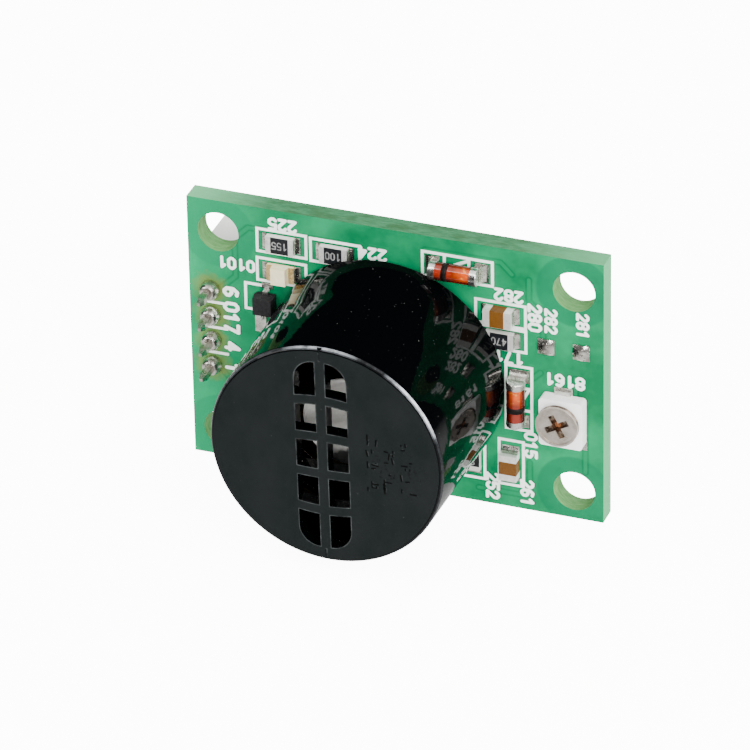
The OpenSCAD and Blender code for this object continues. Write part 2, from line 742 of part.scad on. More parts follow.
// Bead of solder round each connector pin on the front face
module connector_solder() {
  foot_r = pin_side * 1.4;
  neck_r = pin_side * 0.83;
  bead_top = pin_side * 1.6;
  steps = 8;
  color([0.72, 0.72, 0.7]) for (i = [0 : pin_count - 1]) on_front([pin_x, pin_z(i), 0]) difference() {
    rotate_extrude($fn = 48) polygon(concat([[0, 0]],
      [for (k = [0 : steps]) let (a = 90 * k / steps)
        [neck_r + (foot_r - neck_r) * cos(a), pad_t + (bead_top - pad_t) * sin(a)]],
      [[0, bead_top]]));
    block(pin_side, pin_side, bead_top + 1);
  }
}

// Cones of solder on the rear face round the transducer's pins
module rear_solder() {
  foot_r = terminal_r * 2.3;
  neck_r = terminal_r * 1.16;
  cone_top = terminal_r * 1.6;
  steps = 8;
  color([0.72, 0.72, 0.7]) for (s = [-1, 1]) on_rear([terminal_x(s), terminal_z(s)]) difference() {
    rotate_extrude($fn = 48) polygon(concat([[terminal_r, 0]],
      [for (k = [0 : steps]) let (a = 90 * k / steps)
        [foot_r - (foot_r - neck_r) * sin(a), pad_t + (cone_top - pad_t) * (1 - cos(a))]],
      [[terminal_r, cone_top]]));
  }
}

// Open box on the rear face round the pins, with two slots in the wall away from the edge
module connector_housing() {
  length = (pin_count - 1) * pin_pitch + shroud_past;
  near_edge = pin_left - 0.05;
  slot = 0.8;
  color([0.93, 0.92, 0.87]) translate([pin_x, 0, pin_mid_z]) difference() {
    translate([-near_edge, 0, -length / 2]) cube([shroud_depth, shroud_h, length]);
    translate([-near_edge + shroud_wall, shroud_floor, -length / 2 + shroud_wall])
      cube([shroud_depth - 2 * shroud_wall, shroud_h, length - 2 * shroud_wall]);
    for (s = [-1, 1]) translate([shroud_depth - near_edge - shroud_wall - eps, shroud_floor + 0.6,
      s * length / 4 - slot / 2]) cube([shroud_wall + 2 * eps, shroud_h, slot]);
    for (i = [0 : pin_count - 1]) translate([-pin_side / 2, -1, pin_z(i) - pin_mid_z - pin_side / 2])
      cube([pin_side, shroud_floor + 2, pin_side]);
  }
}

// Terminals of the trimmer as [x, side]: one at the top and two at the bottom
tab_w = 1.1;
trimmer_tabs = [[-0.1, 1], [-trimmer_w / 2 + 0.6, -1], [trimmer_w / 2 - 0.6, -1]];
tab_t = 0.2;
tab_out = 0.3;
tab_in = 0.4;

module trimmer_base() {
  corner = 0.25;
  color([0.95, 0.95, 0.93]) on_front(trimmer_at) translate([0, 0, pad_t]) difference() {
    linear_extrude(trimmer_t) union() {
      square([trimmer_w, trimmer_l - 2 * corner], center = true);
      square([trimmer_w - 2 * corner, trimmer_l], center = true);
      for (sx = [-1, 1], sy = [-1, 1])
        translate([sx * (trimmer_w / 2 - corner), sy * (trimmer_l / 2 - corner)])
          circle(r = corner, $fn = 24);
    }
    translate([rotor_shift, 0, -1]) cylinder(h = trimmer_t + 2, r = rotor_shaft_r + rotor_play);
    // Seats of the three terminals in the underside
    for (p = trimmer_tabs)
      translate([p[0] - tab_w / 2, p[1] > 0 ? trimmer_l / 2 - tab_in : -trimmer_l / 2 - eps, -eps])
        cube([tab_w, tab_in + eps, tab_t + eps]);
  }
}

module trimmer_terminals() {
  color([0.82, 0.8, 0.72]) on_front(trimmer_at) for (p = trimmer_tabs)
    translate([p[0] - tab_w / 2, p[1] > 0 ? trimmer_l / 2 - tab_in : -trimmer_l / 2 - tab_out, pad_t])
      cube([tab_w, tab_in + tab_out, tab_t]);
}

// Dished metal rotor with a cross slot and a hollow shaft in the base's bore
module trimmer_rotor() {
  rotor_low = pad_t + trimmer_t + rotor_play;
  rotor_top = rotor_low + rotor_t;
  rim_w = 0.16;
  dish = 0.08;
  slot_depth = 0.27;
  color([0.83, 0.81, 0.77]) on_front(rotor_at) difference() {
    union() {
      translate([0, 0, rotor_low]) cylinder(h = rotor_t, r = rotor_r);
      translate([0, 0, pad_t + 0.1]) cylinder(h = rotor_low - pad_t, r = rotor_shaft_r);
    }
    translate([0, 0, rotor_top - dish]) cylinder(h = 1, r = rotor_r - rim_w);
    translate([0, 0, rotor_top - dish - slot_depth]) for (a = [0, 90]) rotate(slot_turn + a)
      block(slot_l, slot_w, 1);
    translate([0, 0, -1]) cylinder(h = 3, r = rotor_shaft_r * 0.5);
  }
}

// Leads along both sides of a chip body
module lead_rows(count) {
  lead_w = 0.4;
  per_side = count / 2;
  for (turn = [0, 180], i = [0 : per_side - 1]) rotate(turn)
    translate([(i - (per_side - 1) / 2) * lead_pitch, 0, 0])
      bent_lead(lead_w, 0.2, chip_body_w / 2, body_lift + chip_body_t / 2, 1, 0.55);
}

// Moulded chip body with a round mark beside its first lead
module marked_body(l) {
  mark_in = 0.8;
  mark_r = 0.3;
  mark_depth = 0.05;
  difference() {
    moulded_body(l, chip_body_w, body_lift, body_lift + chip_body_t, 0.12);
    translate([-l / 2, -chip_body_w / 2, body_lift + chip_body_t - mark_depth])
      translate([mark_in, mark_in, 0]) cylinder(h = 1, r = mark_r);
  }
}

module controller_body() {
  color([0.12, 0.12, 0.13]) on_rear(controller_at) marked_body(controller_l);
}

module controller_leads() {
  color([0.75, 0.75, 0.73]) on_rear(controller_at) lead_rows(14);
}

module amplifier_body() {
  color([0.12, 0.12, 0.13]) on_rear(amplifier_at) marked_body(amplifier_l);
}

module amplifier_leads() {
  color([0.75, 0.75, 0.73]) on_rear(amplifier_at) lead_rows(8);
}

module rear_chip_bodies() {
  color([0.6, 0.38, 0.22]) for (at = rear_chips_at) on_rear(at)
    chip_body(chip_l, chip_w, capacitor_h, capacitor_end_w, true);
}

module rear_chip_ends() {
  color([0.78, 0.77, 0.74]) for (at = rear_chips_at) on_rear(at)
    chip_ends(chip_l, chip_w, capacitor_h, capacitor_end_w, true);
}

circuit_board();
silkscreen();
test_pads();
chip_solder();
rear_solder();
transducer_housing();
transducer_base();
terminal_pin_left();
terminal_pin_right();
support_ring();
vibrating_plate();
piezo_disc();
resonator_cone();
lead_wires();
connector_housing();
connector_pin_1();
connector_pin_2();
connector_pin_3();
connector_pin_4();
connector_solder();
resistor_1_body();
resistor_1_ends();
resistor_2_body();
resistor_2_ends();
resistor_3_body();
resistor_3_ends();
resistor_4_body();
resistor_4_ends();
capacitor_1_body();
capacitor_1_ends();
capacitor_2_body();
capacitor_2_ends();
lamp_base();
lamp_lens();
lamp_ends();
transistor_body();
transistor_leads();
diode_1_tube();
diode_1_caps();
diode_1_die();
diode_2_tube();
diode_2_caps();
diode_2_die();
trimmer_base();
trimmer_terminals();
trimmer_rotor();
controller_body();
controller_leads();
amplifier_body();
amplifier_leads();
rear_chip_bodies();
rear_chip_ends();
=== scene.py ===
"""Looks of the ultrasonic sensor module: materials, printed numbers, lights and camera.

Everything is in metres, in the row's frame: X along the board, Z up, the transducer faces -Y.
Inside the shaders, places and lengths are in millimetres.
"""
import json
import math
import random

import bpy
import bmesh
from mathutils import Matrix, Vector


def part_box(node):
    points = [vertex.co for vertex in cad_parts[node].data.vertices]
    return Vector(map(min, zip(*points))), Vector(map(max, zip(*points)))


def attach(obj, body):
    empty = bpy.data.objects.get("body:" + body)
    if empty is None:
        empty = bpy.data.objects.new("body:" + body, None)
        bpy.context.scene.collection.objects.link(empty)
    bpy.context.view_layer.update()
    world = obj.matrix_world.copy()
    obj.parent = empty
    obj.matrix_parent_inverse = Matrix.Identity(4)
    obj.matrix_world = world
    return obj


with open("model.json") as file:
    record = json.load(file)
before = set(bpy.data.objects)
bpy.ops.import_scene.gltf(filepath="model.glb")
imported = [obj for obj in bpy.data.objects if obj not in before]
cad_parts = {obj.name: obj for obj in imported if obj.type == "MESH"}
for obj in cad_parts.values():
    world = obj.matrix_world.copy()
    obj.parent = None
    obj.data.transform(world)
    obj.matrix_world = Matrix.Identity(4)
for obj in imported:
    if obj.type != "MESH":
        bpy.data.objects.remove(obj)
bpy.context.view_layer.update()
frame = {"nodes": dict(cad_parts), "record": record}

MM = 0.001
NODES = frame["nodes"]


# Places that the frame gives

def low(node):
    return Vector(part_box(node)[0])


def high(node):
    return Vector(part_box(node)[1])


def centre(node):
    return (low(node) + high(node)) / 2


BOARD_LOW, BOARD_HIGH = low("circuit_board"), high("circuit_board")
PRINT_Y = low("silkscreen").y
CAN = centre("transducer_housing")
CAN_R = (high("transducer_housing").x - low("transducer_housing").x) / 2
FACE_Y = low("transducer_housing").y
PINS = ["connector_pin_%d" % i for i in (1, 2, 3, 4)]

# Mounting holes, and how far they stand in from the board's left, right, bottom and top edge
HOLE_R = 1.5 * MM
INSET_LEFT, INSET_RIGHT, INSET_BOTTOM, INSET_TOP = 2.25 * MM, 2.1 * MM, 2.15 * MM, 2.45 * MM
HOLES = [
    (x, 0, z)
    for x in (BOARD_LOW.x + INSET_LEFT, BOARD_HIGH.x - INSET_RIGHT)
    for z in (BOARD_LOW.z + INSET_BOTTOM, BOARD_HIGH.z - INSET_TOP)
]


# Shader building

class Nodes:
    """Short ways to add nodes to a tree."""

    def __init__(self, tree):
        self.tree = tree

    def fill(self, socket, value):
        """Links a socket to another node's output, or sets it straight to a value."""
        if isinstance(value, bpy.types.NodeSocket):
            self.tree.links.new(value, socket)
        elif socket.type == "RGBA":
            socket.default_value = (*value, 1.0)
        else:
            socket.default_value = value

    def add(self, kind, settings=None, **sockets):
        """A new node with its settings; an underscore in a socket's name stands for a blank."""
        node = self.tree.nodes.new("ShaderNode" + kind)
        for name, value in (settings or {}).items():
            setattr(node, name, value)
        for name, value in sockets.items():
            self.fill(node.inputs[name.replace("_", " ")], value)
        return node

    def span(self, value, from_low, from_high, to_low=0.0, to_high=1.0):
        """The value carried from one range to another, held inside it."""
        node = self.add("MapRange", {"clamp": True}, Value=value, From_Min=from_low, From_Max=from_high,
                        To_Min=to_low, To_Max=to_high)
        return node.outputs["Result"]

    def within(self, value, full, none):
        """1 where the value is below one limit, falling to 0 at the other."""
        return self.span(value, full, none, 1.0, 0.0)

    def mix(self, amount, first, second):
        """The first colour, or the second where the amount is 1."""
        node = self.add("Mix", {"data_type": "RGBA"}, Factor=amount)
        self.fill(node.inputs[6], first)
        self.fill(node.inputs[7], second)
        return node.outputs[2]

    def mix_numbers(self, amount, first, second):
        node = self.add("Mix", {"data_type": "FLOAT"}, Factor=amount)
        self.fill(node.inputs[2], first)
        self.fill(node.inputs[3], second)
        return node.outputs[0]

    def math(self, operation, first, second=0.0):
        node = self.add("Math", {"operation": operation})
        self.fill(node.inputs[0], first)
        self.fill(node.inputs[1], second)
        return node.outputs[0]

    def fold(self, operation, first, others):
        """One operation carried through several values."""
        for other in others:
            first = self.math(operation, first, other)
        return first

    def plus(self, first, *others):
        return self.fold("ADD", first, others)

    def times(self, first, *others):
        return self.fold("MULTIPLY", first, others)

    def greatest(self, first, *others):
        return self.fold("MAXIMUM", first, others)

    def vector(self, operation, first, second=None):
        """One step of vector arithmetic; SCALE takes a number as its second value."""
        node = self.add("VectorMath", {"operation": operation})
        self.fill(node.inputs[0], first)
        if second is not None:
            self.fill(node.inputs["Scale" if operation == "SCALE" else 1], second)
        return node.outputs["Value" if operation in ("DISTANCE", "DOT_PRODUCT") else "Vector"]


class Shader(Nodes):
    """A material, with patterns, places and lengths in millimetres."""

    def __init__(self, name, **sockets):
        self.material = bpy.data.materials.new(name)
        self.material.use_nodes = True
        super().__init__(self.material.node_tree)
        self.place = self.vector("SCALE", self.add("TexCoord").outputs["Object"], 1 / MM)
        self.set(**sockets)

    def set(self, **sockets):
        """Fills sockets of the surface; an underscore in a name stands for a blank."""
        surface = self.tree.nodes["Principled BSDF"]
        for name, value in sockets.items():
            self.fill(surface.inputs[name.replace("_", " ")], value)

    def noise(self, scale, detail=3.0, rough=0.55, stretch=None):
        place = self.vector("MULTIPLY", self.place, stretch) if stretch else self.place
        return self.add("TexNoise", Vector=place, Scale=scale, Detail=detail, Roughness=rough).outputs["Fac"]

    def cells(self, scale):
        """Distance from the nearest of many scattered points."""
        return self.add("TexVoronoi", Vector=self.place, Scale=scale).outputs["Distance"]

    def normal(self):
        return self.add("NewGeometry").outputs["Normal"]

    def axis(self, name):
        """The place along one axis."""
        return self.add("SeparateXYZ", Vector=self.place).outputs[name]

    def facing(self, name):
        """How far the surface's normal lies along an axis, either way, 0 to 1."""
        return self.math("ABSOLUTE", self.add("SeparateXYZ", Vector=self.normal()).outputs[name])

    def lean(self, direction):
        """How far the surface faces a direction of the row, -1 to 1."""
        return self.vector("DOT_PRODUCT", self.normal(), direction)

    def distance_to(self, point, axes="XZ"):
        """Distance from a point of the row, seen in the plane of two axes."""
        flat = tuple(1.0 if name in axes else 0.0 for name in "XYZ")
        target = tuple(c / MM * keep for c, keep in zip(point, flat))
        return self.vector("DISTANCE", self.vector("MULTIPLY", self.place, flat), target)

    def distance_to_line(self, start, end):
        """Distance on the board from a straight line between two points (x, z)."""
        run = (end[0] - start[0], 0.0, end[1] - start[1])
        length = math.hypot(run[0], run[2])
        flat = self.vector("MULTIPLY", self.place, (1.0, 0.0, 1.0))
        away = self.vector("SUBTRACT", flat, (start[0], 0.0, start[1]))
        along = self.vector("DOT_PRODUCT", away, tuple(c / length ** 2 for c in run))
        return self.vector("DISTANCE", away, self.vector("SCALE", run, self.span(along, 0.0, 1.0)))

    def bump(self, height, depth, strength, over=None):
        """A bump of that depth, on the surface's own normal or over another one."""
        node = self.add("Bump", Height=height, Distance=depth * MM, Strength=strength)
        if over is not None:
            self.fill(node.inputs["Normal"], over)
        return node.outputs["Normal"]


# Circuit board

# Ends of the board and radius of its holes, in the shaders' millimetres
LEFT, RIGHT = BOARD_LOW.x / MM, BOARD_HIGH.x / MM
BORE = HOLE_R / MM

# Copper paths that show faintly through the mask on the front face, as (x, z) in millimetres
TRACES = [
    [(10.4, 1.1), (9.4, 0.1), (9.4, -1.6), (8.6, -2.4)],
    [(12.9, 1.1), (12.9, -0.4), (13.6, -1.1), (13.6, -6.2)],
    [(9.6, 8.2), (9.6, 6.6), (10.6, 5.6), (10.6, 3.9)],
    [(-13.0, 3.2), (-11.6, 4.6), (-11.6, 7.6), (-10.6, 8.6), (-4.0, 8.6)],
    [(-12.9, -3.0), (-11.4, -4.5), (-11.4, -6.8)],
    [(5.9, -8.9), (9.0, -8.9), (9.6, -8.3), (9.6, -6.2)],
    [(2.2, 9.2), (7.6, 9.2), (8.4, 8.4)],
]


def copper_paths(s):
    """Where a copper path lies under the mask: its core, and the core with the gap on both sides."""
    core_edge, gap_edge = (0.10, 0.16), (0.22, 0.30)
    away = [s.distance_to_line(*ends) for path in TRACES for ends in zip(path, path[1:])]
    core = s.greatest(*[s.within(distance, *core_edge) for distance in away])
    gap = s.greatest(*[s.within(distance, *gap_edge) for distance in away])
    return core, gap


def mask_colour(s, core, gap):
    """Cloudy green, paler at the left end and browned by burnt flux round the connector's pins."""
    light, dark, deep = (0.000, 0.235, 0.088), (0.000, 0.120, 0.042), (0.000, 0.070, 0.022)
    pale, ringed, burnt = (0.000, 0.330, 0.130), (0.000, 0.115, 0.048), (0.19, 0.16, 0.025)
    ring_edge, flux_edge = (BORE + 1.12, BORE + 1.28), (0.8, 1.5)
    green = s.mix(s.span(s.noise(0.22, 4.0), 0.36, 0.64), light, dark)
    # Clear ring round each mounting hole, where there is no copper under the mask
    for hole in HOLES:
        ring = s.within(s.distance_to(hole), *ring_edge)
        green = s.mix(s.times(ring, 0.6), green, ringed)
    green = s.mix(s.span(s.axis("X"), LEFT + 0.55, LEFT + 9.05, 0.35, 0.0), green, pale)
    green = s.mix(s.times(gap, 0.4), green, deep)
    green = s.mix(s.times(core, 0.4), green, light)
    uneven = s.span(s.noise(2.2), 0.3, 0.7, -0.25, 0.25)
    flux = s.greatest(*[s.within(s.plus(s.distance_to(centre(pin)), uneven), *flux_edge) for pin in PINS])
    return s.mix(s.times(flux, 0.55), green, burnt)


def laminate_colour(s):
    """Layers of the bare laminate, patchy, paler at the board's ends and in the mounting holes."""
    layers = s.span(s.noise(3.0, 5.0, 0.6, (0.5, 5.0, 0.5)), 0.35, 0.65)
    raw = s.mix(layers, (0.060, 0.225, 0.105), (0.022, 0.115, 0.048))
    patches = s.span(s.noise(0.5, 4.0, 0.6, (1.0, 2.5, 2.5)), 0.46, 0.62)
    raw = s.mix(s.times(patches, 0.6), raw, (0.032, 0.085, 0.028))
    left_end = s.span(s.axis("X"), LEFT + 0.15, LEFT + 6.05, 0.85, 0.0)
    right_end = s.span(s.axis("X"), RIGHT - 6.9, RIGHT - 0.4, 0.0, 0.7)
    raw = s.mix(right_end, s.mix(left_end, raw, (0.15, 0.50, 0.24)), (0.12, 0.43, 0.20))
    in_hole = s.greatest(*[s.within(s.distance_to(hole), BORE + 0.05, BORE + 0.15) for hole in HOLES])
    return s.mix(in_hole, raw, s.mix(layers, (0.175, 0.365, 0.145), (0.070, 0.220, 0.065)))


def board_material():
    """Green solder mask with copper under it, bare laminate wherever it doesn't face front or rear."""
    s = Shader("board_green", Specular_IOR_Level=0.06)
    core, gap = copper_paths(s)
    side = s.within(s.facing("Y"), 0.3, 0.7)
    s.set(Base_Color=s.mix(side, mask_colour(s, core, gap), laminate_colour(s)))
    s.set(Roughness=s.span(side, 0.0, 1.0, 0.2, 0.75))
    ripple = s.plus(s.noise(1.2, 3.0), s.times(s.noise(9.0, 2.0), 0.2))
    s.set(Normal=s.bump(s.plus(ripple, s.times(core, 0.25)), 0.02, 0.5))
    return s.material


def ink_material():
    """White printed ink, worn greenish in places."""
    s = Shader("printed_ink", Roughness=0.45)
    wear = s.span(s.noise(5.0, 4.0, 0.7), 0.3, 0.75)
    s.set(Base_Color=s.mix(wear, (0.95, 0.97, 0.94), (0.78, 0.90, 0.82)))
    s.set(Normal=s.bump(s.noise(12.0, 3.0), 0.01, 0.6))
    return s.material


# Transducer

def rim_highlight(s):
    """Painted highlight on the rim between side and face, broken up by noise: strongest at the upper right.
    """
    turned = s.facing("Y")
    radius = CAN_R / MM
    outside = s.span(s.distance_to(CAN), radius - 0.8, radius - 0.6)
    rim = s.times(s.span(turned, 0.15, 0.35), s.within(turned, 0.62, 0.85), outside)
    # Place round the rim, reach of the full and of the faintest painted highlight, and how bright that
    # highlight is
    spots = []
    for degrees, full, none, wear in ((38, 1.1, 3.1, 1.0), (92, 1.2, 3.0, 0.45), (160, 2.0, 7.0, 0.12)):
        turn = math.radians(degrees)
        spot = (CAN.x + CAN_R * math.cos(turn), 0, CAN.z + CAN_R * math.sin(turn))
        spots.append(s.span(s.distance_to(spot), full, none, wear, 0.03))
    # Noise breaks the rim's painted highlight up into pieces
    breakup = s.span(s.noise(1.1, 5.0, 0.8), 0.36, 0.55, 0.25, 1.0)
    return s.times(rim, s.greatest(*spots), breakup)


def flared_normal(s):
    """The surface's normal, tilted on the barrel's top near the board, which so mirrors the dark room."""
    board_front = BOARD_LOW.y / MM
    top = s.span(s.lean((0.0, 0.0, 1.0)), 0.76, 0.96)
    root = s.span(s.axis("Y"), board_front - 5.6, board_front - 2.8)
    tilt = s.vector("SCALE", (0.0, -0.22, 0.0), s.times(top, root))
    return s.vector("NORMALIZE", s.vector("ADD", s.normal(), tilt))


def housing_material():
    """Black moulding: polished sides with dust on them, a matte, slightly scuffed face, and a painted
    highlight on the rim.
    """
    s = Shader("housing_black", Specular_IOR_Level=0.09)
    # The last colour is the pale grey of the rim's painted highlight
    black, dusty, highlit = (0.0006, 0.0008, 0.0010), (0.30, 0.30, 0.28), (0.58, 0.61, 0.65)
    front = FACE_Y / MM
    face = s.times(s.span(s.facing("Y"), 0.93, 0.985), s.within(s.axis("Y"), front + 0.2, front + 0.3))
    grain = s.noise(14.0, 4.0, 0.7)
    smear = s.span(s.noise(0.5, 4.0, 0.6, (1.0, 1.0, 0.6)), 0.35, 0.7)
    matte = s.mix(smear, (0.0034, 0.0058, 0.0057), (0.0060, 0.0076, 0.0077))
    matte = s.mix(s.times(s.span(grain, 0.55, 0.75), 0.24), matte, (0.011, 0.0150, 0.0150))
    # Scuffed patch right of the grille
    scuffed = (CAN.x + 5.0 * MM, 0, CAN.z - 0.1 * MM)
    strokes = s.span(s.noise(1.9, 3.0, 0.8, (1.7, 1.0, 0.9)), 0.58, 0.64)
    scuff = s.times(s.within(s.distance_to(scuffed), 1.2, 2.6), strokes)
    matte = s.mix(s.times(scuff, 0.7), matte, black)
    # Coarse and fine dust, most of it on the polished sides
    coarse = s.times(s.within(s.cells(1.15), 0.03, 0.06), s.span(s.noise(0.9), 0.45, 0.6))
    fine = s.times(s.within(s.cells(3.1), 0.05, 0.09), s.span(s.noise(1.7), 0.5, 0.65))
    dust = s.times(s.greatest(coarse, fine), s.span(face, 0.0, 1.0, 1.0, 0.15))
    colour = s.mix(s.times(dust, 0.5), s.mix(face, black, matte), dusty)
    # The rim's painted highlight, pale grey over the black
    s.set(Base_Color=s.mix(rim_highlight(s), colour, highlit))
    polish = s.plus(s.span(s.noise(0.8, 3.0), 0.3, 0.8, 0.035, 0.075), s.times(dust, 0.4))
    s.set(Roughness=s.mix_numbers(face, polish, s.span(smear, 0.0, 1.0, 0.52, 0.60)))
    relief = s.plus(s.noise(0.45, 2.0), s.times(grain, face, 0.35), s.times(scuff, -0.6))
    s.set(Normal=s.bump(relief, 0.03, 0.6, over=flared_normal(s)))
    return s.material


def cone_material():
    """Bright drawn metal with painted shade below, where the cone stands in the housing's shadow."""
    s = Shader("cone_metal", Metallic=0.25)
    patch = s.span(s.noise(1.5, 4.0, 0.6), 0.3, 0.7)
    bright = s.mix(patch, (0.95, 0.94, 0.90), (0.86, 0.85, 0.81))
    # Painted shade: below this height the cone is painted near black
    in_shadow, in_light, cone_shade = -3.0, -2.4, (0.012, 0.012, 0.012)
    height = s.plus(s.axis("Z"), s.span(s.noise(0.9, 2.0), 0.3, 0.7, -0.2, 0.2))
    s.set(Base_Color=s.mix(s.within(height, in_shadow, in_light), bright, cone_shade))
    s.set(Roughness=s.span(patch, 0.0, 1.0, 0.4, 0.6))
    s.set(Normal=s.bump(s.noise(0.9, 3.0), 0.03, 0.8))
    return s.material


# Other parts

def metal_material(name, light, dark, rough=(0.18, 0.42), grain=4.0, depth=0.03, metal=1.0):
    """Tinned or soldered metal with lumps, dull patches and small pits."""
    s = Shader(name, Metallic=metal)
    in_pits = tuple(c * 0.55 for c in dark)
    patch = s.span(s.noise(grain, 4.0, 0.6), 0.3, 0.7)
    pits = s.within(s.noise(grain * 4, 2.0), 0.28, 0.4)
    s.set(Base_Color=s.mix(pits, s.mix(patch, light, dark), in_pits))
    s.set(Roughness=s.span(patch, 0.0, 1.0, *rough))
    s.set(Normal=s.bump(s.plus(s.noise(grain * 0.6, 3.0), s.times(pits, -0.2)), depth, 0.8))
    return s.material


def plastic_material(name, light, dark, rough=0.4, grain=6.0, depth=0.01, gloss=0.5):
    """Moulded plastic or ceramic with a slight mottle and a fine bump."""
    s = Shader(name, Specular_IOR_Level=gloss)
    mottle = s.span(s.noise(grain * 0.4, 4.0), 0.3, 0.7)
    s.set(Base_Color=s.mix(mottle, light, dark))
    s.set(Roughness=s.span(s.noise(grain), 0.3, 0.7, rough * 0.85, min(rough * 1.2, 1.0)))
    s.set(Normal=s.bump(s.noise(grain * 3, 3.0), depth, 0.8))
    return s.material


def resistor_material():
    """White ceramic whose top, away from the board, has a black glaze."""
    s = Shader("chip_black", Specular_IOR_Level=0.22)
    top = s.span(s.facing("Y"), 0.7, 0.9)
    mottle = s.span(s.noise(7.0, 3.0), 0.3, 0.7)
    glaze = s.mix(mottle, (0.003, 0.004, 0.005), (0.010, 0.011, 0.013))
    s.set(Base_Color=s.mix(top, (0.62, 0.62, 0.58), glaze))
    s.set(Roughness=s.span(top, 0.0, 1.0, 0.55, 0.28))
    s.set(Normal=s.bump(s.noise(9.0, 3.0), 0.02, 0.6))
    return s.material


def capacitor_material():
    """Brown ceramic with faint layer lines."""
    s = Shader("chip_brown", Specular_IOR_Level=0.15)
    layers = s.span(s.noise(2.0, 4.0, 0.65, (6.0, 1.0, 6.0)), 0.3, 0.7)
    s.set(Base_Color=s.mix(layers, (0.150, 0.060, 0.009), (0.070, 0.027, 0.003)))
    s.set(Roughness=s.span(s.noise(6.0), 0.3, 0.7, 0.32, 0.5))
    s.set(Normal=s.bump(layers, 0.012, 0.7))
    return s.material


def glass_material():
    """Orange glass tube with painted light and shade and painted glints, darkest beside its band and dull
    red at the end beyond it.
    """
    s = Shader("diode_glass", Transmission_Weight=0.15, IOR=1.5)
    swirl = s.span(s.noise(1.5, 3.0), 0.3, 0.7)
    # Painted glints: small bright orange-yellow specks
    painted_glints = s.times(s.span(s.noise(2.7, 3.0, 0.6, (1.0, 1.0, 1.5)), 0.56, 0.66), 0.55)
    lit = s.mix(painted_glints, s.mix(swirl, (0.80, 0.105, 0.004), (0.40, 0.038, 0.002)), (0.98, 0.42, 0.05))
    # Painted light and shade: the tube is painted bright where it faces up and to the front, and dark along
    # its edges
    facing_light = s.span(s.lean((0.28, -0.80, 0.53)), 0.56, 0.96)
    orange = s.mix(facing_light, (0.085, 0.004, 0.001), lit)
    end_edge, shade_edge = (1.15, 1.35), (1.35, 2.05)
    from_tip = []
    for tube, towards in (("diode_1_tube", (-1, 0)), ("diode_2_tube", (0, -1))):
        half = (high(tube) - low(tube)) / 2
        from_tip.append(s.distance_to(centre(tube) + Vector((towards[0] * half.x, 0, towards[1] * half.z))))
    dark_end = s.greatest(*[s.within(distance, *end_edge) for distance in from_tip])
    shade = s.greatest(*[s.within(distance, *shade_edge) for distance in from_tip])
    orange = s.mix(s.times(shade, 0.85), orange, (0.09, 0.005, 0.001))
    dull = s.mix(facing_light, (0.04, 0.002, 0.001), (0.26, 0.020, 0.007))
    s.set(Base_Color=s.mix(dark_end, orange, dull))
    s.set(Roughness=s.span(s.noise(5.0), 0.3, 0.7, 0.05, 0.14))
    s.set(Normal=s.bump(s.noise(2.5, 2.0), 0.02, 0.5))
    return s.material


def lens_material():
    """Clear resin of the lamp chip, slightly yellow."""
    s = Shader("lamp_lens", Transmission_Weight=0.12, IOR=1.5)
    s.set(Subsurface_Weight=0.3, Subsurface_Scale=0.6 * MM)
    haze = s.span(s.noise(1.6, 3.0), 0.3, 0.7)
    s.set(Base_Color=s.mix(haze, (0.97, 0.86, 0.60), (0.90, 0.75, 0.45)))
    s.set(Roughness=s.span(s.noise(4.0), 0.3, 0.7, 0.10, 0.2))
    s.set(Normal=s.bump(s.noise(3.0, 2.0), 0.02, 0.5))
    return s.material


def rotor_material():
    """Stamped pale metal with painted brownish shade in its cross slot, and dark brown in the middle."""
    s = Shader("rotor_metal", Metallic=0.85)
    patch = s.span(s.noise(1.4, 4.0, 0.6), 0.3, 0.7)
    metal = s.mix(patch, (0.60, 0.54, 0.48), (0.38, 0.33, 0.28))
    # Painted shade for the slot: brownish, in patches
    slot_shade = s.mix(s.span(s.noise(2.6, 3.0), 0.40, 0.60), (0.34, 0.27, 0.21), (0.055, 0.036, 0.024))
    hub_edge, top = (0.42, 0.56), low("trimmer_rotor").y / MM
    hub = s.within(s.distance_to(centre("trimmer_rotor")), *hub_edge)
    slot_shade = s.mix(hub, slot_shade, (0.085, 0.036, 0.016))
    # The slot's depth gets the painted shade
    in_slot = s.span(s.axis("Y"), top + 0.12, top + 0.22)
    s.set(Base_Color=s.mix(in_slot, metal, slot_shade))
    s.set(Roughness=s.span(s.noise(2.2, 3.0), 0.3, 0.7, 0.25, 0.45))
    s.set(Normal=s.bump(s.noise(1.1, 3.0), 0.06, 0.8))
    return s.material


